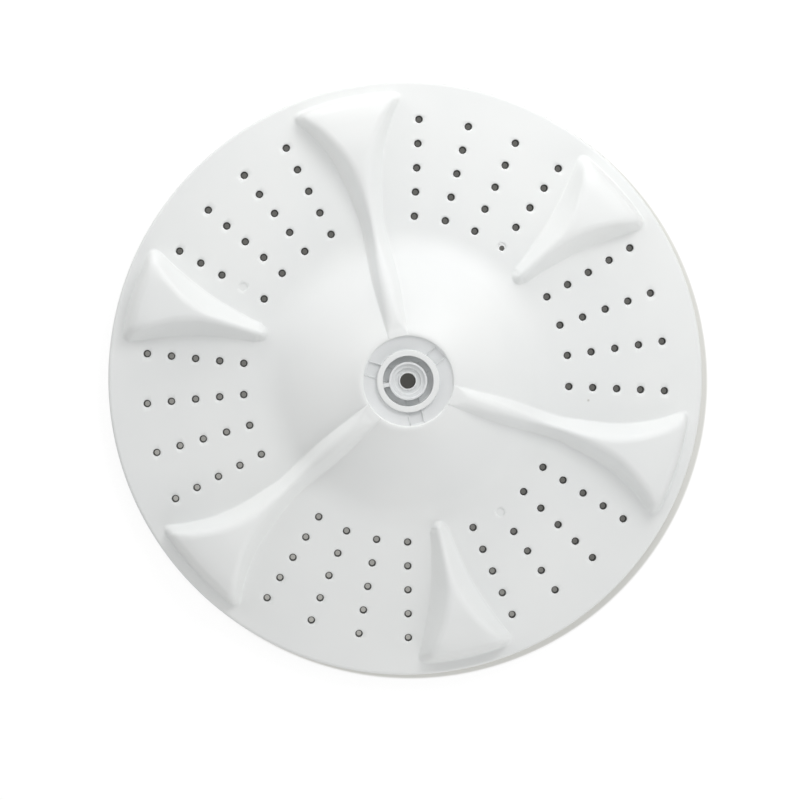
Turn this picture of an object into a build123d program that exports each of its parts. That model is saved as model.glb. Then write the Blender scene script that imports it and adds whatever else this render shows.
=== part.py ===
from build123d import *
from math import cos, radians, tan
import os

# Washing machine agitator: the round wash plate of a top-load machine, moulded in one piece.
# All sizes are in millimetres. The origin is the centre of the rim's underside, +Z is up,
# and one long vane points along +Y.

# Plate, rim and dome
plate_radius = 170.0
rim_height = 12.0
rim_draft = 2.0
rim_chamfer = 1.2
wall = 3.0
skirt_wall = 2.6
dome_foot_radius = 78.0
dome_rise = 25.5
dome_blend_radius = 55.0
dome_crown_radius = 5.0

# Vanes
vane_count = 3
vane_rim_gap = 7.0
vane_lean = 25.0
vane_height = 16.5
shoulder_radius = 6.0
core_half_width = 1.0
vane_sink = 1.5
short_tip_radius = 83.0
short_root_half_width = 4.8
short_end_half_width = 30.0
long_root_half_width = 6.0
long_end_half_width = 35.7
long_hub_gap = 1.5

# Drain holes
hole_radius = 2.3
hole_sides = 8
hole_rows = 4
holes_per_row = 5
hole_row_angle = 11.0
hole_field_angle = 28.4
hole_foot_gap = 15.1
hole_rim_gap = 21.9
closed_holes = ((0, 3, 1), (3, 1, 0))
partly_open_hole = (5, 0, 0)
closed_depth = 1.0
open_part_radius = 1.5
open_part_shift = 0.7
open_part_angle = 258.0

# Hub
recess_radius = 25.5
recess_depth = 1.6
recess_dish = 1.6
shoulder_land = 2.0
collar_outer_radius = 17.6
collar_inner_radius = 14.2
collar_height = 2.8
gap_depth = 5.0
seat_radius = 10.8
seat_rim_radius = 9.5
seat_drop = 1.2
seat_step_radius = 7.3
seat_step_depth = 2.0
seat_floor_depth = 1.8
screw_lip_radius = 5.3
screw_lip_height = 0.7
screw_hole_radius = 4.4
pocket_width = 7.5
pocket_end_radius = 23.4
pocket_depth = 1.5
gap_rib_angle = 178.0
gap_rib_width = 2.8
collar_web = 1.0
hub_clear = 2.0

# Underside
hub_floor_wall = 3.0
boss_radius = 16.0
boss_lift = 3.0
socket_radius = 9.0
socket_depth = 17.0
spline_teeth = 12
spline_depth = 1.2
spline_tooth_width = 2.2
rib_width = 2.2
rib_lift = 2.0
ring_rib_radius = 58.0

# Levels and angles that follow from the sizes above
vane_step = 360.0 / vane_count
first_long_angle = 90.0
first_short_angle = first_long_angle + vane_step / 2
shoulder_r = recess_radius + shoulder_land
shoulder_z = rim_height + dome_rise
recess_rim_z = shoulder_z - recess_depth
recess_floor_z = recess_rim_z - recess_dish
collar_top_z = recess_floor_z + collar_height
gap_floor_z = recess_floor_z - gap_depth
pocket_floor_z = gap_floor_z - pocket_depth
seat_top_z = collar_top_z - seat_drop
seat_step_z = seat_top_z - seat_step_depth
seat_floor_z = seat_step_z - seat_floor_depth
hub_ceiling_z = pocket_floor_z - hub_floor_wall
vane_end_radius = plate_radius - vane_rim_gap
first_hole_radius = dome_foot_radius + hole_foot_gap
last_hole_radius = plate_radius - hole_rim_gap
lean = tan(radians(vane_lean))
short_angles = [first_short_angle + vane_step * i for i in range(vane_count)]
every_hole = [
    (field, row, ring)
    for field in range(2 * vane_count)
    for row in range(hole_rows)
    for ring in range(holes_per_row)
]
short_shots = [*closed_holes, partly_open_hole]
open_part_offset = Vector(open_part_shift, 0).rotate(Axis.Z, open_part_angle)

# Shape of a vane from its inner to its outer end: share of the length, share of the flare
# in its half width, share of its height
short_vane_shape = (
    (0.0, 0.0, 0.2),
    (0.04, 0.02, 0.38),
    (0.15, 0.05, 0.52),
    (0.3, 0.13, 0.72),
    (0.48, 0.29, 0.9),
    (0.7, 0.55, 1.0),
    (0.86, 0.78, 0.85),
    (1.02, 1.04, 0.3),
)
long_vane_shape = (
    (0.0, 0.0, 0.08),
    (0.07, 0.0, 0.34),
    (0.22, 0.03, 0.54),
    (0.36, 0.02, 0.61),
    (0.46, 0.02, 0.66),
    (0.58, 0.09, 0.78),
    (0.73, 0.26, 0.95),
    (0.83, 0.47, 1.0),
    (0.92, 0.73, 0.84),
    (1.01, 1.04, 0.3),
)


def plate_level(radius):
    """Height of the plate's upper side at a radius, before its corners are rounded."""
    share = (dome_foot_radius - radius) / (dome_foot_radius - shoulder_r)
    return rim_height + dome_rise * max(share, 0)


def vane_body(shape, inner_radius, root_half, end_half, inset):
    """One vane along +X, or the core inside it when inset is the wall."""
    length = vane_end_radius - inner_radius
    narrowing = inset * (1 / cos(radians(vane_lean)) - lean)
    sink = vane_sink + inset
    with BuildPart() as vane:
        for along, flare, rise in shape:
            radius = inner_radius + length * along
            half = root_half + (end_half - root_half) * flare - narrowing
            height = vane_height * rise
            if inset:
                height = min(height, (half - core_half_width) / lean)
            top_half = half - height * lean
            base_half = half + sink * lean
            rounding = min(shoulder_radius, 1.2 * top_half, 1.1 * height)
            level = plate_level(radius) - inset
            station = Plane(origin=(radius, 0, level), x_dir=(0, 1, 0), z_dir=(1, 0, 0))
            with BuildSketch(station) as section:
                with BuildLine():
                    Polyline(
                        (-top_half, height),
                        (-base_half, -sink),
                        (base_half, -sink),
                        (top_half, height),
                        close=True,
                    )
                make_face()
                if not inset:
                    fillet(section.vertices().group_by(Axis.Y)[-1], rounding)
        loft(ruled=True)
        Cylinder(vane_end_radius - inset, 2 * plate_radius, mode=Mode.INTERSECT)
    return vane.part


short_vane = vane_body(
    short_vane_shape, short_tip_radius, short_root_half_width, short_end_half_width, 0
)
short_core = vane_body(
    short_vane_shape, short_tip_radius, short_root_half_width, short_end_half_width, wall
)
long_vane = vane_body(
    long_vane_shape, shoulder_r + long_hub_gap, long_root_half_width, long_end_half_width, 0
)
long_core = vane_body(
    long_vane_shape, shoulder_r + long_hub_gap, long_root_half_width, long_end_half_width, wall
)


def field_angles():
    """Angle of the middle of each field of drain holes, one on each side of a short vane."""
    return [angle + side * hole_field_angle for angle in short_angles for side in (-1, 1)]


def hole_place(field, row, ring):
    """Position of one drain hole: its field, its row across the field, its place in the row."""
    angle = field_angles()[field] + (row - (hole_rows - 1) / 2) * hole_row_angle
    ring_step = (last_hole_radius - first_hole_radius) / (holes_per_row - 1)
    radius = first_hole_radius + ring_step * ring
    return Vector(radius, 0).rotate(Axis.Z, angle)


# The plate as it looks from above: rim, hole zone, dome and crown
with BuildPart() as plate:
    with BuildSketch(Plane.XZ) as plate_section:
        with BuildLine():
            Polyline(
                (0, 0),
                (plate_radius, 0),
                (plate_radius - rim_height * tan(radians(rim_draft)), rim_height),
                (dome_foot_radius, rim_height),
                (shoulder_r, shoulder_z),
                (0, shoulder_z),
                close=True,
            )
        make_face()
        corners = plate_section.vertices()
        fillet(corners.sort_by_distance((dome_foot_radius, rim_height))[0], dome_blend_radius)
        fillet(corners.sort_by_distance((shoulder_r, shoulder_z))[0], dome_crown_radius)
        rim_corner = plate_section.vertices().sort_by_distance((plate_radius, rim_height))[0]
        chamfer(rim_corner, rim_chamfer)
    revolve(axis=Axis.Z)
    with BuildSketch(Plane.XY.offset(rim_height)):
        with Locations([hole_place(*hole) for hole in every_hole if hole not in short_shots]):
            RegularPolygon(hole_radius, hole_sides)
        with Locations(hole_place(*partly_open_hole) + open_part_offset):
            RegularPolygon(open_part_radius, hole_sides)
    extrude(amount=-2 * wall, mode=Mode.SUBTRACT)
    with BuildSketch(Plane.XY.offset(rim_height)):
        with Locations([hole_place(*hole) for hole in short_shots]):
            RegularPolygon(hole_radius, hole_sides)
    extrude(amount=-closed_depth, mode=Mode.SUBTRACT)

# The hollow under the plate, as deep as the wall allows, with the ribs and boss left standing
with BuildPart() as hollow:
    with BuildSketch(Plane.XZ) as hollow_section:
        with BuildLine():
            Polyline(
                (0, 0),
                (plate_radius - skirt_wall, 0),
                (plate_radius - skirt_wall - rim_height * tan(radians(rim_draft)), rim_height - wall),
                (dome_foot_radius, rim_height - wall),
                (shoulder_r, shoulder_z - wall),
                (shoulder_r, hub_ceiling_z),
                (0, hub_ceiling_z),
                close=True,
            )
        make_face()
    revolve(axis=Axis.Z)
    with PolarLocations(0, vane_count, first_short_angle):
        add(short_core)
    with PolarLocations(0, vane_count, first_long_angle):
        add(long_core)
    for angle in field_angles():
        with Locations(Location((0, 0, rib_lift), (0, 0, angle))):
            Box(
                plate_radius,
                rib_width,
                shoulder_z,
                align=(Align.MIN, Align.CENTER, Align.MIN),
                mode=Mode.SUBTRACT,
            )
    with BuildSketch(Plane.XY.offset(rib_lift)):
        Circle(ring_rib_radius + rib_width / 2)
        Circle(ring_rib_radius - rib_width / 2, mode=Mode.SUBTRACT)
    extrude(amount=shoulder_z, mode=Mode.SUBTRACT)
    with BuildSketch(Plane.XY.offset(rib_lift)):
        Circle(boss_radius)
    extrude(amount=boss_lift - rib_lift)
    with BuildSketch(Plane.XY.offset(boss_lift)):
        Circle(boss_radius)
    extrude(amount=shoulder_z, mode=Mode.SUBTRACT)

# What is cut out of the hub from above: cap recess, gap round the screw seat, stepped seat
with BuildPart() as hub_cut:
    with BuildSketch(Plane.XZ):
        with BuildLine():
            Polyline(
                (0, shoulder_z + hub_clear),
                (recess_radius, shoulder_z + hub_clear),
                (recess_radius, recess_rim_z),
                (collar_outer_radius, recess_floor_z),
                (collar_outer_radius, collar_top_z),
                (collar_inner_radius, collar_top_z),
                (collar_inner_radius, gap_floor_z),
                (seat_radius, gap_floor_z),
                (seat_radius, seat_top_z),
                (seat_rim_radius, seat_top_z),
                (seat_rim_radius, seat_step_z),
                (seat_step_radius, seat_step_z),
                (seat_step_radius, seat_floor_z),
                (screw_lip_radius, seat_floor_z),
                (screw_lip_radius, seat_floor_z + screw_lip_height),
                (screw_hole_radius, seat_floor_z + screw_lip_height),
                (screw_hole_radius, boss_lift),
                (0, boss_lift),
                close=True,
            )
        make_face()
    revolve(axis=Axis.Z)
    with BuildSketch(Plane.XY.offset(gap_floor_z)) as gap_rib:
        with Locations(Location((0, 0), gap_rib_angle)):
            Rectangle(collar_inner_radius + 1, gap_rib_width, align=(Align.MIN, Align.CENTER))
        Circle(seat_radius, mode=Mode.SUBTRACT)
    extrude(amount=seat_top_z - gap_floor_z, mode=Mode.SUBTRACT)

# The three clip pockets that run out from the screw seat, under the collar
with BuildPart() as clip_pockets:
    with BuildSketch(Plane.XY.offset(pocket_floor_z)):
        with PolarLocations(0, vane_count, first_short_angle):
            Rectangle(pocket_end_radius, pocket_width, align=(Align.MIN, Align.CENTER))
        Circle(seat_radius, mode=Mode.SUBTRACT)
    extrude(amount=recess_floor_z - collar_web - pocket_floor_z)
    with BuildSketch(Plane.XY.offset(pocket_floor_z)):
        with PolarLocations(0, vane_count, first_short_angle):
            Rectangle(pocket_end_radius, pocket_width, align=(Align.MIN, Align.CENTER))
        Circle(collar_outer_radius, mode=Mode.SUBTRACT)
    extrude(amount=shoulder_z - pocket_floor_z)

# The splined socket that the drive shaft enters from below
with BuildPart() as drive_socket:
    with BuildSketch(Plane.XY.offset(boss_lift)):
        Circle(socket_radius)
        with PolarLocations(socket_radius, spline_teeth):
            Rectangle(2 * spline_depth, spline_tooth_width, mode=Mode.SUBTRACT)
    extrude(amount=socket_depth)

# The whole moulding
with BuildPart() as agitator_plate:
    add(plate.part)
    with PolarLocations(0, vane_count, first_short_angle):
        add(short_vane)
    with PolarLocations(0, vane_count, first_long_angle):
        add(long_vane)
    add(hollow.part, mode=Mode.SUBTRACT)
    add(hub_cut.part, mode=Mode.SUBTRACT)
    add(clip_pockets.part, mode=Mode.SUBTRACT)
    add(drive_socket.part, mode=Mode.SUBTRACT)

agitator_plate.part.label = "agitator_plate"
os.makedirs("parts", exist_ok=True)
export_step(agitator_plate.part, "parts/agitator_plate.step")
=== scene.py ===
"""White washing machine agitator, lit and framed as a plain studio picture."""

import logging
from dataclasses import dataclass, field
from enum import Enum
from math import atan, cos, radians, sin, tan

import bpy
import numpy as np
from mathutils import Matrix, Vector
from mathutils.bvhtree import BVHTree


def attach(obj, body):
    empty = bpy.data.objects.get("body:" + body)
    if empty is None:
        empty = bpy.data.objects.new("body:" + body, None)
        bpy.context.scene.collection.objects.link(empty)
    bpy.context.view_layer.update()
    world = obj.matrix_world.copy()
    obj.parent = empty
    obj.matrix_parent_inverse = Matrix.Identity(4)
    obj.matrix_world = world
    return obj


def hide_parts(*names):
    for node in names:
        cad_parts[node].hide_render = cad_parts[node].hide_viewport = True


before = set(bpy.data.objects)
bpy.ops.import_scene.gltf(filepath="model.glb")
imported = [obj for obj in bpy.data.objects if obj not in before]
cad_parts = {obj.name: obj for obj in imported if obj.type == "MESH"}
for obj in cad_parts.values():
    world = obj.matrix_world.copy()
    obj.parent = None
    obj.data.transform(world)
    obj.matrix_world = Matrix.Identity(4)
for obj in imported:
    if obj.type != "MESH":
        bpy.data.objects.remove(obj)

Colour = tuple[float, float, float, float]
Pair = tuple[float, float]
Row = tuple[float, ...]
Place = tuple[int, int, int]
Array = np.ndarray
Socket = bpy.types.NodeSocket

LOG = logging.getLogger("agitator")
MM = 0.001
CAD_NODE = "agitator_plate"
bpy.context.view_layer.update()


def smooth_curve(knots: Array, values: Array, at: Array) -> Array:
    """Smooth line through a few measured values, without overshoot between them.

    Args:
        knots: Rising positions of the values.
        values: The value at each knot.
        at: Positions to read.

    Returns:
        The line's value at each position, held level past its ends.
    """
    step = np.diff(knots)
    slope = np.diff(values) / step
    tangent = np.zeros(len(knots))
    same = slope[:-1] * slope[1:] > 0
    tangent[1:-1][same] = 2 * (slope[:-1] * slope[1:])[same] / (slope[:-1] + slope[1:])[same]
    tangent[0], tangent[-1] = slope[0], slope[-1]
    where = np.clip(np.searchsorted(knots, at) - 1, 0, len(step) - 1)
    share = np.clip((at - knots[where]) / step[where], 0.0, 1.0)
    square, cube = share**2, share**3
    return (
        (2 * cube - 3 * square + 1) * values[where]
        + (cube - 2 * square + share) * step[where] * tangent[where]
        + (3 * square - 2 * cube) * values[where + 1]
        + (cube - square) * step[where] * tangent[where + 1]
    )


def soft_lesser(first: Array, second: Array, reach: float) -> Array:
    """The lesser of two values at each point, rounded where they differ by less than the reach."""
    share = np.clip(0.5 + 0.5 * (second - first) / reach, 0.0, 1.0)
    return second + (first - second) * share - reach * share * (1 - share)


def arc(radius: float | Array, away: Array, least: float = 0.0) -> Array:
    """Height of a circle that far to the side of its middle, its square no less than the least."""
    return np.sqrt(np.maximum(radius**2 - away**2, least))


def link(name: str, data: bpy.types.ID) -> bpy.types.Object:
    """Puts new data into the scene as an object.

    Args:
        name: The object's name.
        data: The object's mesh, camera or lamp.

    Returns:
        The new object.
    """
    made = bpy.data.objects.new(name, data)
    bpy.context.scene.collection.objects.link(made)
    return made


@dataclass
class SheetMesh:
    """Points and faces that are gathered in millimetres and become one object in metres."""

    points: list[tuple[float, float, float]] = field(default_factory=list)
    faces: list[tuple[int, ...]] = field(default_factory=list)

    def add_points(self, x: Array, y: Array, z: Array) -> Array:
        """Adds points.

        Args:
            x: Position of each point along X.
            y: Position of each point along Y.
            z: Height of each point.

        Returns:
            The points' numbers, in the shape of the positions.
        """
        start = len(self.points)
        self.points.extend(zip(x.ravel(), y.ravel(), z.ravel()))
        return np.arange(start, len(self.points)).reshape(x.shape)

    def add_ring(self, radius: float, turn: Array, height: float | Array) -> Array:
        """Adds points round the middle, at angles in radians, and returns their numbers."""
        level = np.broadcast_to(height, turn.shape)
        return self.add_points(radius * np.cos(turn), radius * np.sin(turn), level)

    def add_face(self, corners: Array | tuple[int, ...]) -> None:
        """Adds a face by the numbers of its points."""
        self.faces.append(tuple(int(corner) for corner in corners))

    def close_band(self, inner: Array, outer: Array) -> None:
        """Joins two closed rows of as many points with quads.

        Args:
            inner: Numbers of one row's points.
            outer: Numbers of the other row's points, in the same order.
        """
        for i in range(len(inner)):
            j = (i + 1) % len(inner)
            self.add_face((inner[i], outer[i], outer[j], inner[j]))

    def build(self, name: str, sharp_deg: float) -> bpy.types.Object:
        """Makes the object, smooth except where its faces turn sharply.

        Args:
            name: The piece's name.
            sharp_deg: Turn between two faces from which their edge stays sharp.

        Returns:
            The new object.
        """
        mesh = bpy.data.meshes.new(name)
        mesh.from_pydata((np.array(self.points) * MM).tolist(), [], self.faces)
        mesh.validate()
        mesh.shade_smooth()
        mesh.set_sharp_from_angle(angle=radians(sharp_deg))
        return link(name, mesh)


@dataclass(frozen=True)
class PlateForm:
    """The turned form under the vanes: flat drain zone, dome and hub shoulder, in millimetres."""

    rim_radius: float = 170.0
    rim_height: float = 12.0
    rim_draft_deg: float = 2.0
    rim_round: float = 1.6
    wall: float = 3.0
    dome_foot: float = 78.0
    dome_rise: float = 25.5
    foot_round: float = 34.0
    bulge: float = 1.2
    shoulder: float = 27.5
    shoulder_round: float = 5.0
    recess_radius: float = 25.5
    recess_depth: float = 1.6

    def level(self, radius: Array) -> Array:
        """Height of the plate's upper side.

        Args:
            radius: Distance from the middle at each point.

        Returns:
            The height at each point.
        """
        slope = atan(self.dome_rise / (self.dome_foot - self.shoulder))
        top = self.rim_height + self.dome_rise
        cone = self.rim_height + (self.dome_foot - radius) * tan(slope)
        reach = self.foot_round * tan(slope / 2)
        middle = self.dome_foot + reach
        foot = self.rim_height + self.foot_round - arc(self.foot_round, middle - radius)
        level = np.where(radius > middle, self.rim_height, foot)
        level = np.where(radius < self.dome_foot - reach * cos(slope), cone, level)
        reach = self.shoulder_round * tan(slope / 2)
        middle = self.shoulder - reach
        crown = top - self.shoulder_round + arc(self.shoulder_round, radius - middle)
        level = np.where(radius < self.shoulder + reach * cos(slope), crown, level)
        share = np.clip((radius - self.shoulder) / (self.dome_foot - self.shoulder), 0.0, 1.0)
        level = level + self.bulge * np.sin(np.pi * share) ** 2
        return np.where(radius < middle, top, level)


@dataclass(frozen=True)
class VaneForm:
    """One kind of vane, drawn along +X from its inner end to the rim, in millimetres."""

    first_angle_deg: float
    inner_end: float
    stations: Row
    half_widths: Row
    crest_stations: Row
    crest_heights: Row
    lean_stations: Row
    wall_leans_deg: Row
    outer_end: float = 163.0
    shoulder_round: float = 5.5
    foot_round: float = 1.2
    corner_round: float = 7.0
    crest_round: float = 1.2
    crest_share: float = 0.25
    crown: float = 0.0015
    least_crest: float = 0.3
    least_fit: float = 0.05
    skirt_slope: float = 0.8
    skirt: Row = (0.55, 0.25)
    sink: float = 0.35
    cut: float = 0.0
    count: int = 3
    # How the rows and columns of the mesh are spread
    row_step: float = 1.0
    end_room: float = 30.0
    end_reach: float = 14.0
    tip_skirt: Row = (-0.8, -0.5, -0.2)
    tip_rows: int = 15
    tip_crowding: float = 1.6
    foot_columns: int = 4
    wall_columns: int = 3
    shoulder_columns: int = 8
    top_columns: int = 8
    top_crowding: float = 1.3
    most_of_room: float = 0.8
    least_of_edge: float = 0.4
    settling: int = 8

    def half_width(self, x: Array) -> Array:
        """Half of the vane's width over its foot at each position along it."""
        return smooth_curve(np.array(self.stations), np.array(self.half_widths), x)

    def stretch(self, x: Array) -> Array:
        """Length of the outline for each millimetre along the vane, at each position."""
        flare = self.half_width(x + 0.5) - self.half_width(x - 0.5)
        return np.sqrt(1 + flare**2)

    def lean(self, x: Array) -> Array:
        """Climb of the vane's wall above the level, in radians, at each position along it."""
        turn = smooth_curve(np.array(self.lean_stations), np.array(self.wall_leans_deg), x)
        return np.radians(90.0 - turn)

    def crest(self, x: Array, y: Array) -> Array:
        """Height of the vane's top above the plate at each point."""
        line = smooth_curve(np.array(self.crest_stations), np.array(self.crest_heights), x)
        return np.maximum(line - self.crown * y**2, self.least_crest)

    def section(self, inside: Array, crest: Array, climb: Array) -> Array:
        """Height of the vane's side: foot round, leaning wall, shoulder round and top.

        Args:
            inside: Distance in from the vane's outline at each point.
            crest: Height of the vane's top at each point.
            climb: Climb of the wall above the level at each point, in radians.

        Returns:
            The height above the plate at each point, a little below it outside the foot.
        """
        bend = np.tan(climb / 2)
        room = crest / (np.sin(climb) * bend * (self.foot_round + self.shoulder_round))
        fit = np.clip(room, self.least_fit, 1.0)
        foot, shoulder = self.foot_round * fit, self.shoulder_round * fit
        edge = crest / np.tan(climb)
        low = foot - arc(foot, inside + bend * foot)
        high = crest - shoulder + arc(shoulder, edge + bend * shoulder - inside)
        rise = inside * np.tan(climb)
        rise = np.where(inside < bend * foot * np.cos(climb), low, rise)
        rise = np.where(inside < -bend * foot, self.skirt_slope * (inside + bend * foot), rise)
        rise = np.where(inside > edge - bend * shoulder * np.cos(climb), high, rise)
        rise = np.where(inside > edge + bend * shoulder, crest, rise)
        return np.maximum(rise, -self.sink)

    def inside(self, x: Array, y: Array) -> Array:
        """Distance in from the vane's outline, its ridge and corners rounded.

        Args:
            x: Position along the vane of each point.
            y: Position across it of each point.

        Returns:
            The distance of each point, below nothing outside the outline.
        """
        across = np.sqrt(y**2 + self.crest_round**2) - self.crest_share * self.crest_round
        side = (self.half_width(x) - across) / self.stretch(x)
        nose = self.half_widths[0]
        tip = nose - np.hypot(np.minimum(x - self.inner_end - nose, 0.0), y)
        within = np.where(x < self.inner_end + nose, np.minimum(tip, side), side)
        return soft_lesser(within, self.outer_end - np.hypot(x, y), self.corner_round)

    def rise(self, x: Array, y: Array) -> Array:
        """Height that one vane along +X has above the plate, a little below it outside the vane."""
        height = self.section(self.inside(x, y), self.crest(x, y), self.lean(x))
        return np.where(x > 0, height, -self.sink)

    def rise_all(self, x: Array, y: Array) -> Array:
        """Height that all the vanes of this kind add.

        Args:
            x: Position of each point along X.
            y: Position of each point along Y.

        Returns:
            The height at each point.
        """
        total = np.zeros_like(x)
        for i in range(self.count):
            angle = radians(self.first_angle_deg + 360.0 / self.count * i)
            along = x * cos(angle) + y * sin(angle)
            across = y * cos(angle) - x * sin(angle)
            total = np.maximum(total, self.rise(along, across))
        return total

    def depths(self, room: Array, x: Array) -> Array:
        """Distances in from the outline of the mesh's columns, dense where the section bends.

        Args:
            room: Distance from the outline to the vane's middle at each row.
            x: Position along the vane of each row.

        Returns:
            One row of distances for each row of the mesh, from outside the foot to the middle.
        """
        climb = self.lean(x)
        bend = np.tan(climb / 2)
        edge = self.crest(x, np.zeros_like(x)) / np.tan(climb)
        start = -bend * self.foot_round
        foot = bend * self.foot_round * np.cos(climb)
        low = edge - bend * self.shoulder_round * np.cos(climb)
        high = edge + bend * self.shoulder_round
        low = np.maximum(low, self.least_of_edge * edge)
        scale = np.minimum(1.0, self.most_of_room * room / high)
        foot, low, high = foot * scale, low * scale, high * scale
        rows = [start - away for away in self.skirt]
        rows += [*np.linspace(start, foot, self.foot_columns + 1)]
        rows += [*np.linspace(foot, low, self.wall_columns + 1)[1:-1]]
        rows += [*np.linspace(low, high, self.shoulder_columns + 1)]
        shares = 1 - np.linspace(1.0, 0.0, self.top_columns + 1)[1:] ** self.top_crowding
        rows += [high + (room - high) * share for share in shares]
        return np.array(rows).T

    def grid(self) -> tuple[Array, Array]:
        """Positions of the mesh's points: rows at even radii, columns along the outline.

        Returns:
            The distance from the plate's middle of each row, and the points' positions across.
        """
        crowded = np.linspace(0.0, 1.0, self.tip_rows) ** self.tip_crowding
        tip = self.inner_end + np.concatenate((self.tip_skirt, self.half_widths[0] * crowded))
        end = self.depths(np.array([self.end_room]), np.array([self.outer_end]))[0]
        outer = self.outer_end - end[end < self.end_reach][::-1]
        between = np.linspace(tip[-1], outer[0], int((outer[0] - tip[-1]) / self.row_step))
        radii = np.concatenate((tip, between[1:-1], outer))
        if self.cut > 0:
            radii = np.concatenate(([self.cut, self.cut], radii[radii > self.cut + 0.1]))
        middle = (1 - self.crest_share) * self.crest_round
        depth = self.depths((self.half_width(radii) - middle) / self.stretch(radii), radii)
        across = np.zeros_like(depth)
        for _ in range(self.settling):
            along = arc(radii[:, None], across, 1.0)
            across = np.maximum(self.half_width(along) - depth * self.stretch(along), 0.0)
        across[:, -1] = 0.0
        return radii, np.concatenate((across, -across[:, -2::-1]), axis=1)

    def build_one(self, plate: PlateForm, name: str, angle_deg: float) -> bpy.types.Object:
        """Builds one vane as a grid that follows its outline.

        Args:
            plate: The plate that the vane stands on.
            name: The piece's name.
            angle_deg: Angle of the vane's middle line.

        Returns:
            The vane's object.
        """
        radii, across = self.grid()
        along = arc(radii[:, None], across, 1.0)
        height = plate.level(radii)[:, None] + self.rise(along, across)
        if self.cut > 0:
            height[0] = plate.level(radii[:1]) - self.sink
        turn = radians(angle_deg)
        mesh = SheetMesh()
        grid = mesh.add_points(
            along * cos(turn) - across * sin(turn), along * sin(turn) + across * cos(turn), height
        )
        for i in range(grid.shape[0] - 1):
            for j in range(grid.shape[1] - 1):
                mesh.add_face((grid[i, j + 1], grid[i + 1, j + 1], grid[i + 1, j], grid[i, j]))
        return mesh.build(name, sharp_deg=60.0)

    def build(self, plate: PlateForm, name: str) -> list[bpy.types.Object]:
        """Builds all the vanes of this kind.

        Args:
            plate: The plate that the vanes stand on.
            name: Start of each piece's name.

        Returns:
            The vanes' objects.
        """
        step = 360.0 / self.count
        return [
            self.build_one(plate, f"{name}_{i + 1}", self.first_angle_deg + step * i)
            for i in range(self.count)
        ]


SHORT_VANE = VaneForm(
    first_angle_deg=30.0,
    inner_end=83.0,
    stations=(83.0, 88.0, 95.5, 105.6, 118.8, 128.6, 140.0, 150.0, 160.0, 168.0),
    half_widths=(4.3, 5.1, 6.1, 8.1, 11.2, 14.4, 18.9, 23.4, 28.5, 32.6),
    crest_stations=(83.0, 88.0, 95.0, 107.0, 121.4, 137.0, 148.0, 154.0, 159.0, 164.6),
    crest_heights=(5.0, 7.0, 8.8, 11.9, 14.9, 16.5, 16.1, 15.2, 13.8, 11.6),
    lean_stations=(83.0, 115.0, 134.0, 148.0, 160.0, 168.0),
    wall_leans_deg=(31.0, 32.0, 29.0, 23.0, 16.0, 12.0),
)
LONG_VANE = VaneForm(
    first_angle_deg=90.0,
    inner_end=20.0,
    cut=25.8,
    stations=(20.0, 32.0, 60.6, 89.0, 103.5, 118.0, 132.0, 147.0, 161.0, 168.0),
    half_widths=(5.2, 5.85, 7.25, 6.3, 8.15, 10.9, 15.3, 23.0, 33.75, 39.5),
    crest_stations=(
        *(26.9, 29.0, 34.5, 38.4, 47.0, 58.5, 85.3),
        *(106.7, 126.8, 138.0, 148.0, 154.0, 159.0, 164.3),
    ),
    crest_heights=(0.5, 1.1, 3.6, 4.9, 7.0, 8.9, 10.6, 12.9, 15.7, 16.5, 16.1, 15.2, 13.8, 11.6),
    lean_stations=(26.9, 70.0, 105.0, 125.0, 146.0, 168.0),
    wall_leans_deg=(28.0, 30.0, 29.0, 25.0, 16.0, 11.0),
)


class HoleKind(Enum):
    """How far a drain hole is open."""

    OPEN = "open"
    CLOSED = "closed"
    PARTLY_OPEN = "partly open"


@dataclass(frozen=True)
class DrainHoles:
    """The fields of drain holes, one on each side of every short vane, in millimetres."""

    radius: float = 2.3
    low_radius: float = 1.4
    edge: float = 0.25
    rings: Row = (93.1, 106.85, 120.6, 134.35, 148.1)
    row_step_deg: float = 11.0
    rows: int = 4
    field_offset_deg: float = 28.4
    short_vane_angles_deg: Row = (150.0, 270.0, 30.0)
    closed_depth: float = 0.55
    closed: tuple[Place, ...] = ((0, 3, 1), (3, 1, 0))
    partly_open: Place = (5, 0, 0)
    small_radius: float = 1.5
    small_shift: float = 0.7
    small_angle_deg: float = 258.0

    def rows_deg(self) -> list[tuple[float, int, int]]:
        """Places of the rows of holes.

        Returns:
            Angle, field and number of each row, by rising angle.
        """
        found = []
        for i, short in enumerate(self.short_vane_angles_deg):
            for k, side in enumerate((-1, 1)):
                for row in range(self.rows):
                    turn = (row - (self.rows - 1) / 2) * self.row_step_deg
                    angle = short + side * self.field_offset_deg + turn
                    found.append((angle % 360.0, 2 * i + k, row))
        return sorted(found)

    def kind(self, place: Place) -> HoleKind:
        """How far a hole is open.

        Args:
            place: Field, row and ring of the hole.

        Returns:
            The kind of hole.
        """
        if place in self.closed:
            return HoleKind.CLOSED
        return HoleKind.PARTLY_OPEN if place == self.partly_open else HoleKind.OPEN


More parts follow.
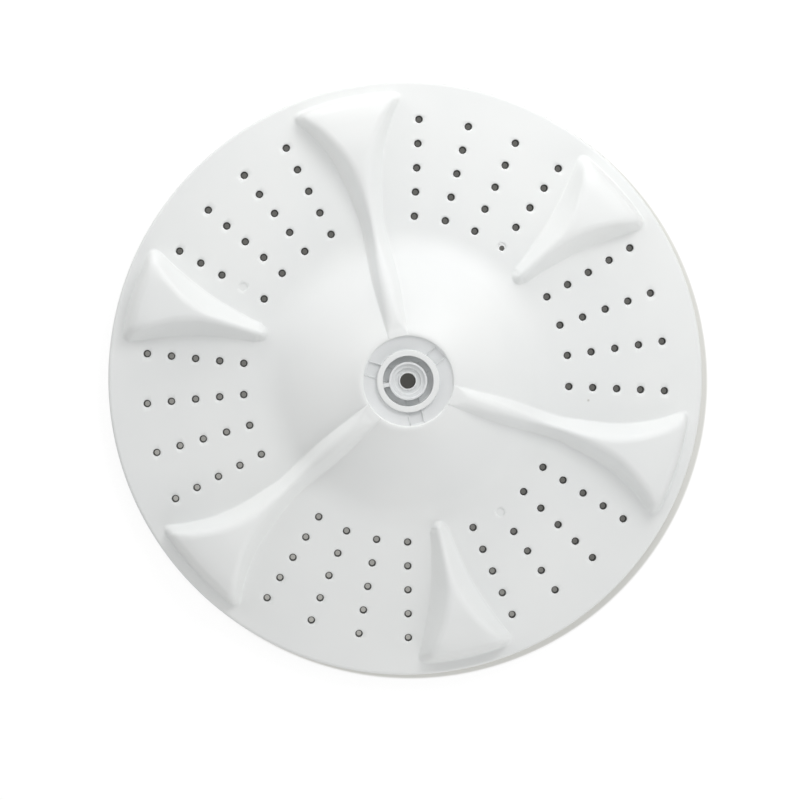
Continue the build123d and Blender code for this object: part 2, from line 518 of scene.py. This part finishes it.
@dataclass
class PlateShell:
    """The plate as it shows from above between the vanes: rim, drain zone, dome and holes."""

    plate: PlateForm = field(default_factory=PlateForm)
    vanes: tuple[VaneForm, ...] = (SHORT_VANE, LONG_VANE)
    holes: DrainHoles = field(default_factory=DrainHoles)
    column_deg: float = 0.5
    ring_step: float = 1.375
    block_columns: int = 6
    block_rings: int = 3
    least_cover: float = 1.6
    overlap: float = 0.1
    recess_round: float = 0.4
    recess_arc: Pair = (0.1, 0.12)
    rim_turns_deg: Row = (22.5, 45.0, 67.5, 88.0)
    rim_foot: tuple[Pair, ...] = ((0.2, 0.35), (0.35, 0.0))

    def rise(self, x: Array, y: Array) -> Array:
        """Height of the vanes above the plate.

        Args:
            x: Position of each point along X.
            y: Position of each point along Y.

        Returns:
            The height at each point, nothing between the vanes.
        """
        total = np.zeros_like(x)
        for vane in self.vanes:
            total = np.maximum(total, vane.rise_all(x, y))
        return total

    def height(self, x: Array, y: Array) -> Array:
        """Height of the upper side, vanes included, at each point."""
        return self.plate.level(np.hypot(x, y)) + self.rise(x, y)

    def columns(self) -> tuple[Array, list[int]]:
        """Angles of the mesh's columns, one through each row of holes.

        Returns:
            The angles in degrees, and the number of each row's own column.
        """
        rows = [angle for angle, _, _ in self.holes.rows_deg()]
        angles: list[float] = []
        own = []
        for this, after in zip(rows, [*rows[1:], rows[0] + 360.0]):
            own.append(len(angles))
            count = round((after - this) / self.column_deg)
            angles.extend(np.linspace(this, after, count, endpoint=False))
        return np.array(angles), own

    def radii(self) -> tuple[Array, list[int]]:
        """Radii of the mesh's rings, from the hub recess to the rim's rounded edge.

        Returns:
            The radii, and the number of the ring through each ring of holes.
        """
        first = self.holes.rings[0]
        start = self.plate.recess_radius + self.recess_round
        inward = int((first - start) / self.ring_step)
        last = self.plate.rim_radius - self.plate.rim_height * tan(radians(self.plate.rim_draft_deg))
        last -= self.plate.rim_round
        outward = int((last - first) / self.ring_step)
        radii = first + self.ring_step * np.arange(-inward, outward + 1)
        radii = np.concatenate(([start], radii, [last]))
        own = [inward + 1 + round((ring - first) / self.ring_step) for ring in self.holes.rings]
        return radii, own

    def rim_rows(self, last: float) -> list[Pair]:
        """Rows of points over the rim's edge and down its side.

        Args:
            last: Radius at which the edge's round begins.

        Returns:
            Radius and height of each row.
        """
        plate = self.plate
        rows = []
        for turn in self.rim_turns_deg:
            out = sin(radians(turn)) * plate.rim_round
            down = (1 - cos(radians(turn))) * plate.rim_round
            rows.append((last + out, plate.rim_height - down))
        return rows + [(plate.rim_radius - inset, height) for inset, height in self.rim_foot]

    def recess_rows(self) -> list[Pair]:
        """Rows of points over the hub recess's edge and down its wall.

        Returns:
            Radius and height of each row.
        """
        edge, top = self.plate.recess_radius, self.plate.rim_height + self.plate.dome_rise
        out, down = self.recess_arc
        low = top - self.plate.recess_depth - self.overlap / 2
        return [(edge + out, top - down), (edge, top - self.recess_round), (edge, low)]

    def block_edge(self, grid: Array, left_out: Array, column: int, ring: int) -> Array:
        """Takes the faces round one hole out of the grid.

        Args:
            grid: Numbers of the grid's points, by ring and column.
            left_out: Which of the grid's faces are left out. The block's are added.
            column: The column through the hole's middle.
            ring: The ring through the hole's middle.

        Returns:
            Numbers of the points round the block, in order.
        """
        width, depth = self.block_columns, self.block_rings
        columns = [(column + c) % grid.shape[1] for c in range(-width, width + 1)]
        left_out[ring - depth : ring + depth, columns[:-1]] = True
        block = grid[ring - depth : ring + depth + 1, columns]
        return np.concatenate((block[0], block[1:, -1], block[-1, -2::-1], block[-2:0:-1, 0]))

    def build_hole(self, mesh: SheetMesh, rim: Array, place: Place, angle: float) -> None:
        """Fills one block of the mesh with a drain hole.

        Args:
            mesh: The mesh that the hole is added to.
            rim: Numbers of the points round the block, in order.
            place: Field, row and ring of the hole.
            angle: Angle of the hole's row in degrees.
        """
        holes = self.holes
        kind = holes.kind(place)
        middle = holes.rings[place[2]] * np.array((cos(radians(angle)), sin(radians(angle))))
        away = np.array([mesh.points[i][:2] for i in rim]) - middle
        reach = np.hypot(away[:, 0], away[:, 1])[:, None]
        unit = away / reach
        edge = holes.radius + holes.edge
        top = self.plate.rim_height
        through = top - self.plate.wall - self.overlap
        low = through if kind is HoleKind.OPEN else top - holes.closed_depth
        taper = holes.low_radius if kind is HoleKind.OPEN else holes.radius
        rows = [
            (unit * (edge + reach) / 2, None),
            (unit * edge, None),
            (unit * holes.radius, top - holes.edge),
            (unit * taper, low),
        ]
        if kind is HoleKind.PARTLY_OPEN:
            turn = radians(holes.small_angle_deg)
            small = unit * holes.small_radius + holes.small_shift * np.array((cos(turn), sin(turn)))
            rows += [(small, low), (small, through)]
        last = rim
        for spread, height in rows:
            x, y = (middle + spread).T
            level = self.plate.level(np.hypot(x, y)) if height is None else np.full(len(x), height)
            row = mesh.add_points(x, y, level)
            mesh.close_band(row, last)
            last = row
        if kind is HoleKind.CLOSED:
            mesh.add_face(last)

    def build(self) -> bpy.types.Object:
        """Builds the shell's mesh: a grid of rings and columns with a hole in each block.

        Returns:
            The shell's object.
        """
        mesh = SheetMesh()
        angles, row_columns = self.columns()
        radii, hole_rings = self.radii()
        turn = np.radians(angles)
        x = radii[:, None] * np.cos(turn)
        y = radii[:, None] * np.sin(turn)
        grid = mesh.add_points(x, y, self.plate.level(np.hypot(x, y)))
        left_out = self.rise(x, y) > self.least_cover
        left_out = left_out & np.roll(left_out, -1, axis=1)
        left_out[:-1] = left_out[:-1] & left_out[1:]
        for column, (angle, where, row) in zip(row_columns, self.holes.rows_deg()):
            for k, ring in enumerate(hole_rings):
                edge = self.block_edge(grid, left_out, column, ring)
                self.build_hole(mesh, edge, (where, row, k), angle)
        for i, j in np.argwhere(~left_out[:-1]):
            k = (j + 1) % len(angles)
            mesh.add_face((grid[i, j], grid[i + 1, j], grid[i + 1, k], grid[i, k]))
        last = grid[-1]
        for radius, height in self.rim_rows(radii[-1]):
            row = mesh.add_ring(radius, turn, height)
            mesh.close_band(last, row)
            last = row
        last = grid[0]
        for radius, height in self.recess_rows():
            row = mesh.add_ring(radius, turn, height)
            mesh.close_band(row, last)
            last = row
        return mesh.build("plate_shell", sharp_deg=50.0)


@dataclass(frozen=True)
class Hub:
    """The hub inside the dome's crown, in millimetres: recess, collar, gap and stepped screw seat."""

    plate: PlateForm = field(default_factory=PlateForm)
    dish: float = 1.6
    collar_outer: float = 17.6
    collar_inner: float = 14.2
    collar_height: float = 2.8
    gap_depth: float = 4.2
    seat_outer: float = 10.8
    seat_rim: float = 9.5
    seat_drop: float = 1.2
    seat_step: float = 7.3
    seat_step_depth: float = 2.0
    seat_floor_depth: float = 1.8
    lip: float = 5.3
    lip_height: float = 0.7
    hole: float = 4.4
    hole_bottom: float = 20.0
    edge: float = 0.28
    wall_top: float = 0.9
    round_share: float = 0.45
    row_gap: float = 0.8
    near: float = 0.1
    pocket_half_width: float = 3.75
    pocket_end: float = 24.7
    pocket_depth: float = 0.8
    ridge: float = 0.6
    pocket_lines: Row = (0.0, 0.12, 0.45, 0.6)
    inner_pocket_depth: float = 0.6
    gap_round: float = 0.4
    pocket_angles_deg: Row = (30.0, 150.0, 270.0)
    rib_angle_deg: float = 178.0
    rib_half_width: float = 1.4
    wall_slope: float = 0.22
    rib_drop: float = 0.25
    slack: float = 0.02
    least_reach: float = 13.1
    column_count: int = 480
    least_apart_deg: float = 0.25

    @property
    def rim_level(self) -> float:
        """Height of the recess's floor at its wall."""
        return self.plate.rim_height + self.plate.dome_rise - self.plate.recess_depth

    @property
    def floor_level(self) -> float:
        """Height of the recess's floor at the collar."""
        return self.rim_level - self.dish

    def profile(self) -> list[Pair]:
        """Rows of the mesh, from the recess's wall inwards and down the screw hole.

        Returns:
            Radius and height of each row.
        """
        rim, floor = self.rim_level, self.floor_level
        collar = floor + self.collar_height
        gap = floor - self.gap_depth
        seat = collar - self.seat_drop
        step = seat - self.seat_step_depth
        low = step - self.seat_floor_depth
        lip = low + self.lip_height
        outer = self.plate.recess_radius
        corners = [
            (outer, rim, 0.5),
            (self.collar_outer, floor, 0.35),
            (self.collar_outer - 0.12, collar, 0.45),
            (self.collar_inner + 0.06, collar, 0.35),
            (self.collar_inner, gap, 0.3),
            (self.seat_outer, gap, 0.3),
            (self.seat_outer - 0.06, seat, self.edge),
            (self.seat_rim + 0.04, seat, self.edge),
            (self.seat_rim, step, 0.2),
            (self.seat_step + 0.04, step, self.edge),
            (self.seat_step, low, 0.2),
            (self.lip + 0.03, low, 0.2),
            (self.lip, lip, 0.22),
            (self.hole + 0.02, lip, 0.22),
            (self.hole, self.hole_bottom, 0.05),
        ]
        first = (outer, rim + self.wall_top)
        line = [first, *[(r, z) for r, z, _ in corners], (self.hole, self.hole_bottom - self.near)]
        rows = [first]
        for i, (r, z, rounding) in enumerate(corners):
            here, before, after = Vector((r, z)), Vector(line[i]), Vector(line[i + 2])
            before, after = before - here, after - here
            start = here + before.normalized() * min(rounding, self.round_share * before.length)
            stop = here + after.normalized() * min(rounding, self.round_share * after.length)
            for share in (0.0, 0.25, 0.5, 0.75, 1.0):
                rows.append(tuple(start.lerp(here, share).lerp(here.lerp(stop, share), share)))
        spread = [first]
        for row in rows[1:]:
            last = Vector(spread[-1])
            parts = int((Vector(row) - last).length / self.row_gap) + 1
            spread += [tuple(last.lerp(Vector(row), k / parts)) for k in range(1, parts)]
            spread.append(row)
        return spread

    def marks(self) -> list[Pair]:
        """Straight edges of the pockets, their ridges and the rib.

        Returns:
            The angle of each edge's middle line, and the edge's distance from that line.
        """
        lines = [self.pocket_half_width + away for away in self.pocket_lines]
        sides = [side * line for line in lines for side in (1, -1)]
        found = [(angle, side) for angle in self.pocket_angles_deg for side in sides]
        foot, top = self.rib_half_width, self.rib_half_width - self.wall_slope
        return found + [(self.rib_angle_deg, away) for away in (-foot, -top, top, foot)]

    def mark_angles(self, radius: float) -> Array:
        """Angle in degrees at which each straight edge crosses a radius."""
        angle, distance = np.array(self.marks()).T
        return angle + np.degrees(np.arcsin(distance / radius))

    def angles(self, radius: float, base: Array) -> Array:
        """Angles of a row's points, so that columns run along the pockets' and the rib's edges.

        Args:
            radius: The row's radius.
            base: The angles in degrees at the reference radius.

        Returns:
            The angles in degrees at this radius.
        """
        known = self.mark_angles(self.collar_outer)
        shift = self.mark_angles(max(radius, self.least_reach)) - known
        return base + np.interp(base, known, shift, period=360.0)

    def base_angles(self) -> Array:
        """Angles of the mesh's columns where the collar begins.

        Returns:
            Even angles in degrees, with one at every straight edge.
        """
        even = np.arange(self.column_count) * 360.0 / self.column_count
        exact = self.mark_angles(self.collar_outer) % 360.0
        apart = np.abs((even[:, None] - exact[None, :] + 180.0) % 360.0 - 180.0).min(axis=1)
        return np.sort(np.concatenate((even[apart > self.least_apart_deg], exact)))

    def lower(self, radius: float, angle: Array, height: float) -> Array:
        """Heights of a row with the pockets sunk into it and the gap's rib standing on it.

        Args:
            radius: The row's radius.
            angle: Angle of each point in degrees.
            height: Height of the row elsewhere.

        Returns:
            The height of each point.
        """
        floor, gap = self.floor_level, self.floor_level - self.gap_depth
        result = np.full(len(angle), height)
        for middle in self.pocket_angles_deg:
            turn = np.radians(angle - middle)
            ahead = np.cos(turn) > 0
            away = np.abs(radius * np.sin(turn)) - self.pocket_half_width
            pocket = ahead & (away < self.slack)
            if self.collar_outer - self.near < radius < self.pocket_end and height < self.rim_level:
                first, last = self.pocket_lines[1] - self.slack, self.pocket_lines[2] + self.slack
                result = np.where(pocket, result - self.pocket_depth, result)
                result = np.where(ahead & (away > first) & (away < last), result + self.ridge, result)
            if self.seat_outer < radius < self.collar_inner and height < gap + self.gap_round:
                result = np.where(pocket, gap - self.inner_pocket_depth, result)
        if self.seat_outer - self.near < radius < self.collar_inner + self.near:
            turn = np.radians(angle - self.rib_angle_deg)
            half = self.rib_half_width - self.wall_slope + self.slack
            beside = np.abs(radius * np.sin(turn)) < half
            top = floor + self.collar_height - self.seat_drop - self.rib_drop
            result = np.where(beside & (np.cos(turn) > 0), np.maximum(result, top), result)
        return result

    def build(self) -> bpy.types.Object:
        """Builds the hub's mesh.

        Returns:
            The hub's object.
        """
        mesh = SheetMesh()
        base = self.base_angles()
        last = None
        for radius, height in self.profile():
            angle = self.angles(radius, base)
            row = mesh.add_ring(radius, np.radians(angle), self.lower(radius, angle, height))
            if last is not None:
                mesh.close_band(row, last)
            last = row
        return mesh.build("hub", sharp_deg=40.0)


@dataclass
class Underside:
    """What faces down or lies under the shell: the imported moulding's own inner side."""

    shell: PlateShell
    least_wall: float = 1.2
    start: float = 0.02
    steep: float = -0.5

    def build(self) -> bpy.types.Object:
        """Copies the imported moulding's faces that aren't open to the sky, kept under the shell.

        Returns:
            The underside's object.
        """
        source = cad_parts[CAD_NODE].data
        points = [vertex.co.copy() for vertex in source.vertices]
        tree = BVHTree.FromPolygons(points, [tuple(face.vertices) for face in source.polygons])
        kept = []
        for face in source.polygons:
            start = face.center + face.normal * self.start * MM
            covered = tree.ray_cast(start, Vector((0.0, 0.0, 1.0)))[0] is not None
            if covered or face.normal.z < self.steep:
                kept.append(tuple(face.vertices))
        used = sorted({i for face in kept for i in face})
        number = {old: new for new, old in enumerate(used)}
        x, y, z = np.array([points[i] for i in used]).T / MM
        roof = self.shell.height(x, y) - self.least_wall
        under_vanes = np.hypot(x, y) > self.shell.plate.shoulder
        mesh = SheetMesh(faces=[tuple(number[i] for i in face) for face in kept])
        mesh.add_points(x, y, np.where(under_vanes, np.minimum(z, roof), z))
        return mesh.build("underside", sharp_deg=30.0)


class Shade:
    """A shader number that plain arithmetic can be done with."""

    def __init__(self, sheet: "NodeSheet", socket: Socket) -> None:
        """Wraps a socket of one of the sheet's nodes."""
        self.sheet = sheet
        self.socket = socket

    def maths(self, operation: str, *others: "Shade | float") -> "Shade":
        """Joins this number with the ones that follow it in one maths node."""
        return self.sheet.maths(operation, self, *others)

    def __add__(self, other: "Shade | float") -> "Shade":
        """Sum."""
        return self.maths("ADD", other)

    def __sub__(self, other: "Shade | float") -> "Shade":
        """Difference."""
        return self.maths("SUBTRACT", other)

    def __rsub__(self, other: float) -> "Shade":
        """Difference with a plain number first."""
        return self.sheet.maths("SUBTRACT", other, self)

    def __mul__(self, other: "Shade | float") -> "Shade":
        """Product."""
        return self.maths("MULTIPLY", other)

    def __truediv__(self, other: "Shade | float") -> "Shade":
        """Quotient."""
        return self.maths("DIVIDE", other)

    def __rtruediv__(self, other: float) -> "Shade":
        """Quotient with a plain number first."""
        return self.sheet.maths("DIVIDE", other, self)

    __radd__ = __add__
    __rmul__ = __mul__

    def ramp(self, start: float, stop: float) -> "Shade":
        """Climbs smoothly from 0 to 1 as this number grows.

        Args:
            start: Where the climb begins.
            stop: Where it ends.

        Returns:
            The result.
        """
        kind = {"interpolation_type": "SMOOTHSTEP"}
        values = {"Value": self, "From Min": start, "From Max": stop}
        return Shade(self.sheet, self.sheet.node("ShaderNodeMapRange", kind, values).outputs["Result"])


class NodeSheet:
    """The nodes of one material or world."""

    def __init__(self, tree: bpy.types.NodeTree) -> None:
        """Starts on a node tree."""
        self.tree = tree

    def node(
        self, kind: str, settings: dict | None = None, values: dict | None = None
    ) -> bpy.types.Node:
        """Adds one node.

        Args:
            kind: The node's type name.
            settings: The node's own settings.
            values: Numbers, colours or sockets for its inputs, by name or number.

        Returns:
            The new node.
        """
        made = self.tree.nodes.new(kind)
        for name, setting in (settings or {}).items():
            setattr(made, name, setting)
        for name, value in (values or {}).items():
            self.put(value, made.inputs[name])
        return made

    def put(self, value: Shade | Socket | float | tuple, target: Socket) -> None:
        """Links a socket to an input, or sets the input to a constant.

        Args:
            value: The socket or the constant.
            target: The input.
        """
        if isinstance(value, Shade):
            value = value.socket
        if isinstance(value, Socket):
            self.tree.links.new(value, target)
        else:
            target.default_value = value

    def maths(self, operation: str, *numbers: Shade | float) -> Shade:
        """Adds a maths node and returns its result."""
        made = self.node("ShaderNodeMath", {"operation": operation}, dict(enumerate(numbers)))
        return Shade(self, made.outputs[0])

    def noise(self, place: Socket, scale: float, detail: float) -> Shade:
        """Noise between 0 and 1 with about so many patches to the metre."""
        values = {"Vector": place, "Scale": scale, "Detail": detail}
        return Shade(self, self.node("ShaderNodeTexNoise", values=values).outputs[0])

    def mix(self, share: Shade | float, first: object, second: object) -> Socket:
        """Mixes two colours, the share being how much of the second one shows."""
        made = self.node("ShaderNodeMix", {"data_type": "RGBA"}, {0: share, 6: first, 7: second})
        return made.outputs[2]

    def parts(self, place: Socket) -> tuple[Shade, Shade, Shade]:
        """Splits a position into its three numbers."""
        made = self.node("ShaderNodeSeparateXYZ", values={0: place})
        return tuple(Shade(self, output) for output in made.outputs)

    def distance(self, place: Socket, middle: Pair) -> Shade:
        """Distance across the plate from a point, in millimetres.

        Args:
            place: The position on the piece.
            middle: The point's position along X and Y.

        Returns:
            The distance.
        """
        x, y, _ = self.parts(place)
        across = x - middle[0] * MM
        along = y - middle[1] * MM
        return (across * across + along * along).maths("SQRT") / MM


@dataclass(frozen=True)
class Ring:
    """A soft ring round the plate's middle, by its radii in millimetres."""

    begins: float
    full: float
    fades: float
    ends: float

    def share(self, radius: Shade) -> Shade:
        """How much of the ring shows at a radius, from 0 to 1."""
        return radius.ramp(self.begins, self.full) * (1.0 - radius.ramp(self.fades, self.ends))


@dataclass(frozen=True)
class WhitePlastic:
    """Satin white plastic: hub greyer by tint and painted shade, painted light on its collar, painted
    shade in hollows.
    """

    white: Colour = (0.858, 0.870, 0.862, 1.0)
    cool_white: Colour = (0.832, 0.846, 0.842, 1.0)
    hub_grey: Colour = (0.775, 0.79, 0.795, 1.0)
    shaded_grey: Colour = (0.45, 0.47, 0.47, 1.0)
    hole_painted_shade: Colour = (0.05, 0.05, 0.048, 1.0)
    bore_painted_shade: Colour = (0.105, 0.10, 0.082, 1.0)
    speck_brown: Colour = (0.30, 0.26, 0.2, 1.0)
    tint_scale: float = 14.0
    tint_range: Pair = (0.35, 0.68)
    grain_scale: float = 2600.0
    hub_grain: float = 0.6
    wave_scale: float = 60.0
    roughness: float = 0.42
    roughness_spread: float = 0.1
    shine: float = 0.38
    hub_even: float = 0.72
    hub_spread: float = 0.5
    grain_height: float = 0.010
    hub_grain_height: float = 0.05
    wave_height: float = 0.06
    hub_radii: Pair = (24.95, 25.45)
    collar: Ring = Ring(13.9, 14.2, 17.5, 17.8)
    collar_heights: Pair = (35.6, 36.6)
    collar_painted_light_share: float = 0.85
    gap: Ring = Ring(9.6, 10.6, 14.1, 14.4)
    gap_heights: Pair = (29.6, 35.5)
    gap_share: float = 0.12
    socket_radii: Pair = (4.35, 4.5)
    socket_heights: Pair = (31.2, 32.4)
    drain_zone: Ring = Ring(88.0, 90.0, 151.0, 153.0)
    hole_heights: Pair = (11.0, 11.35)
    hole_shade_share: float = 0.95
    speck: Pair = (99.2, -34.0)
    speck_radii: Pair = (0.2, 1.1)
    speck_share: float = 0.4

    def colour(self, sheet: NodeSheet, place: Socket) -> Socket:
        """Builds the colour: tint, hub grey, one speck, painted light on the collar and painted shade
        in hollows.

        Args:
            sheet: The material's nodes.
            place: The position on the piece.

        Returns:
            The colour's socket.
        """
        height = sheet.parts(place)[2] / MM
        radius = sheet.distance(place, (0.0, 0.0))
        tint = sheet.noise(place, self.tint_scale, 3.0).ramp(*self.tint_range)
        shown = sheet.mix(tint, self.white, self.cool_white)
        grain = sheet.noise(place, self.grain_scale * self.hub_grain, 1.0)
        # The hub's grey is partly its own greyer tint and partly painted shade in the recess; the
        # raised collar's top is spared most of it, a painted highlight where it catches the light.
        hub = (1.0 - radius.ramp(*self.hub_radii)) * (self.hub_even + grain * self.hub_spread)
        collar = self.collar.share(radius) * height.ramp(*self.collar_heights)
        hub = hub * (1.0 - collar * self.collar_painted_light_share)
        shown = sheet.mix(hub.maths("MINIMUM", 1.0), shown, self.hub_grey)
        gap = self.gap.share(radius) * (1.0 - height.ramp(*self.gap_heights))
        shown = sheet.mix(gap * self.gap_share, shown, self.shaded_grey)
        # Painted shade: the screw hole's bore is darkened below its lip, standing in for the shade
        # down the hole.
        hole = (1.0 - radius.ramp(*self.socket_radii)) * (1.0 - height.ramp(*self.socket_heights))
        shown = sheet.mix(hole, shown, self.bore_painted_shade)
        # Painted shade: the drain holes' walls are darkened below the plate's top, standing in for the
        # shade inside the holes.
        deep = self.drain_zone.share(radius) * (1.0 - height.ramp(*self.hole_heights))
        shown = sheet.mix(deep * self.hole_shade_share, shown, self.hole_painted_shade)
        speck = 1.0 - sheet.distance(place, self.speck).ramp(*self.speck_radii)
        return sheet.mix(speck * self.speck_share, shown, self.speck_brown)

    def build(self) -> bpy.types.Material:
        """Makes the material.

        Returns:
            The plastic's material.
        """
        material = bpy.data.materials.new("white_plastic_dressed")
        material.use_nodes = True
        shader = material.node_tree.nodes["Principled BSDF"]
        sheet = NodeSheet(material.node_tree)
        place = sheet.node("ShaderNodeTexCoord").outputs["Object"]
        sheet.put(self.colour(sheet, place), shader.inputs["Base Color"])
        sheet.put(self.shine, shader.inputs["Specular IOR Level"])
        rough = sheet.noise(place, self.wave_scale, 3.0) - 0.5
        sheet.put(rough * self.roughness_spread + self.roughness, shader.inputs["Roughness"])
        hub = 1.0 - sheet.distance(place, (0.0, 0.0)).ramp(*self.hub_radii)
        grain = sheet.noise(place, self.grain_scale, 2.0)
        grain = grain * (self.grain_height + hub * self.hub_grain_height)
        waves = sheet.noise(place, self.wave_scale, 1.0) * self.wave_height
        values = {"Height": grain + waves, "Distance": MM, "Strength": 0.5}
        bump = sheet.node("ShaderNodeBump", values=values)
        sheet.put(bump.outputs["Normal"], shader.inputs["Normal"])
        return material


@dataclass(frozen=True)
class CameraPlace:
    """Where the picture is taken from: nearly straight down on the plate."""

    distance_mm: float = 1426.0
    tilt_deg: float = 2.59
    swing_deg: float = 2.12
    turn_deg: float = 12.33
    shift_x_mm: float = 3.68
    shift_y_mm: float = 11.65
    hole_plane_mm: float = 12.0
    focal_px: float = 2500.0
    picture_px: float = 800.0
    sensor_mm: float = 36.0

    def build(self) -> None:
        """Makes the camera and sets it as the scene's."""
        data = bpy.data.cameras.new("camera")
        data.sensor_width = self.sensor_mm
        data.lens = self.focal_px / self.picture_px * self.sensor_mm
        data.clip_end = 20.0
        camera = link("camera", data)
        lean = Matrix.Rotation(radians(self.tilt_deg), 4, "X") @ Matrix.Rotation(
            radians(self.swing_deg), 4, "Y"
        )
        away = Vector((self.shift_x_mm, self.shift_y_mm, -self.distance_mm)) * MM
        place = lean.inverted() @ Matrix.Translation(-away)
        turn = Matrix.Rotation(radians(-self.turn_deg), 4, "Z")
        lift = Matrix.Translation(Vector((0.0, 0.0, self.hole_plane_mm * MM)))
        camera.matrix_world = lift @ turn @ place
        bpy.context.scene.camera = camera


@dataclass(frozen=True)
class Lamp:
    """One square lamp that looks at the plate's middle, its sizes in metres."""

    name: str
    azimuth_deg: float
    from_top_deg: float
    share: float
    distance: float = 1.0
    size: float = 0.5


@dataclass(frozen=True)
class Studio:
    """Even sky, soft lamps from above and low down, and a pale floor with the plate's shadow, a
    painted shadow crescent and painted glow.
    """

    sky_level: float = 0.425
    full_level: float = 5.92
    lamps: tuple[Lamp, ...] = (
        Lamp("near_lamp", 49.0, 44.0, 0.36, 0.64, 0.26),
        Lamp("top_lamp", 97.7, 25.0, 0.12),
        Lamp("left_back_lamp", 132.7, 55.0, 0.08),
        Lamp("front_lamp", 292.7, 55.0, 0.12),
        Lamp("front_low_lamp", 252.7, 78.0, 0.045),
        Lamp("right_back_low_lamp", 47.7, 78.0, 0.035),
        Lamp("back_low_lamp", 87.7, 78.0, 0.06),
        Lamp("left_back_low_lamp", 127.7, 78.0, 0.04),
        Lamp("right_front_low_lamp", 327.7, 78.0, 0.04),
    )
    floor_size: float = 6.0
    ground_grey: Colour = (0.3, 0.3, 0.3, 1.0)
    floor_glow: float = 0.79
    shade_grey: Colour = (0.55, 0.55, 0.53, 1.0)
    shade_middle: Pair = (2.9, -3.2)
    shade_radius: float = 170.0
    shade_soft: float = 1.6
    shade_roughness: float = 0.9
    unlit: Colour = (0.0, 0.0, 0.0, 1.0)
    low_colour: Colour = (1.0, 0.99, 0.93, 1.0)
    low_glow: float = 0.16
    low_everywhere: float = 0.8
    low_left_front: float = 1.6
    left_front_reach: Pair = (0.02, 0.2)
    outside_radii: Pair = (20.0, 80.0)
    edge_glow: float = 0.2
    edge_radii: Pair = (163.0, 168.0)

    def build_lamp(self, lamp: Lamp) -> None:
        """Makes one lamp, turned to the plate's middle.

        Args:
            lamp: The lamp's place, size and share of the light.
        """
        across, down = radians(lamp.azimuth_deg), radians(lamp.from_top_deg)
        data = bpy.data.lights.new(lamp.name, "AREA")
        data.shape = "SQUARE"
        data.size = lamp.size
        data.energy = self.full_level * lamp.share * lamp.distance**2 / cos(down)
        made = link(lamp.name, data)
        toward = Vector((sin(down) * cos(across), sin(down) * sin(across), cos(down)))
        made.location = toward * lamp.distance
        made.rotation_euler = toward.to_track_quat("Z", "Y").to_euler()
        made.visible_camera = False

    def build_light(self) -> None:
        """Makes the world and the lamps."""
        world = bpy.data.worlds.new("even_sky")
        bpy.context.scene.world = world
        world.use_nodes = True
        back = world.node_tree.nodes["Background"]
        back.inputs["Color"].default_value = (1.0, 1.0, 1.0, 1.0)
        back.inputs["Strength"].default_value = self.sky_level
        for lamp in self.lamps:
            self.build_lamp(lamp)

    def dress_floor(self) -> bpy.types.Material:
        """Makes the floor's material: pale round the plate, dimmer under it and in its shadow, with a
        painted shadow crescent and painted glow.

        Returns:
            The floor's material.
        """
        material = bpy.data.materials.new("pale_floor")
        material.use_nodes = True
        sheet = NodeSheet(material.node_tree)
        shader = material.node_tree.nodes["Principled BSDF"]
        target = material.node_tree.nodes["Material Output"].inputs["Surface"]
        place = sheet.node("ShaderNodeTexCoord").outputs["Object"]
        radius = sheet.distance(place, (0.0, 0.0))
        # Painted shadow: the pale glow begins outside a circle moved off the plate's middle, so a
        # crescent beside the plate stays dim; the plate's real shadow also falls there.
        away = sheet.distance(place, self.shade_middle)
        beyond = away.ramp(self.shade_radius, self.shade_radius + self.shade_soft)
        path = sheet.node("ShaderNodeLightPath")
        seen = Shade(sheet, path.outputs["Is Camera Ray"])
        for name in ("Is Glossy Ray", "Is Transmission Ray"):
            seen = seen.maths("MAXIMUM", Shade(sheet, path.outputs[name]))
        white = sheet.node("ShaderNodeBsdfDiffuse", values={"Color": self.ground_grey})
        glow = sheet.node("ShaderNodeEmission", values={"Strength": self.floor_glow})
        lit = sheet.node("ShaderNodeAddShader", values={0: white.outputs[0], 1: glow.outputs[0]})
        # Painted light: under the plate and in the crescent the floor glows dimly for the camera, more
        # towards the left front, further out and near the rim.
        x, y, _ = sheet.parts(place)
        left_front = (0.0 - x - y).ramp(*self.left_front_reach)
        outside = radius.ramp(*self.outside_radii) * 0.5 + 0.5
        edge = radius.ramp(*self.edge_radii)
        low = (left_front * self.low_left_front + self.low_everywhere) * outside * self.low_glow
        low = seen * (low * (1.0 - edge) + edge * self.edge_glow)
        sheet.put(self.shade_grey, shader.inputs["Base Color"])
        sheet.put(self.shade_roughness, shader.inputs["Roughness"])
        sheet.put(sheet.mix(low, self.unlit, self.low_colour), shader.inputs["Emission Color"])
        sheet.put(1.0, shader.inputs["Emission Strength"])
        values = {0: seen * beyond, 1: shader.outputs[0], 2: lit.outputs[0]}
        sheet.put(sheet.node("ShaderNodeMixShader", values=values).outputs[0], target)
        return material

    def build_floor(self) -> None:
        """Makes the floor, which belongs to the stage and not to the part."""
        half = self.floor_size / 2
        mesh = bpy.data.meshes.new("floor")
        corners = [(-half, -half, 0.0), (half, -half, 0.0), (half, half, 0.0), (-half, half, 0.0)]
        mesh.from_pydata(corners, [], [(0, 1, 2, 3)])
        floor = link("floor", mesh)
        mesh.materials.append(self.dress_floor())


def main() -> None:
    """Builds the scene in order."""
    logging.basicConfig(level=logging.INFO)
    bpy.context.scene.view_settings.view_transform = "Standard"
    plastic = WhitePlastic().build()
    shell = PlateShell()
    pieces = [shell.build()]
    pieces += SHORT_VANE.build(shell.plate, "short_vane")
    pieces += LONG_VANE.build(shell.plate, "long_vane")
    pieces.append(Hub().build())
    pieces.append(Underside(shell).build())
    for piece in pieces:
        piece.data.materials.append(plastic)
        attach(piece, "root")
        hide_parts(CAD_NODE)
        LOG.info("%s: %d faces", piece.name, len(piece.data.polygons))
    CameraPlace().build()
    studio = Studio()
    studio.build_light()
    studio.build_floor()


if __name__ == "__main__":
    main()
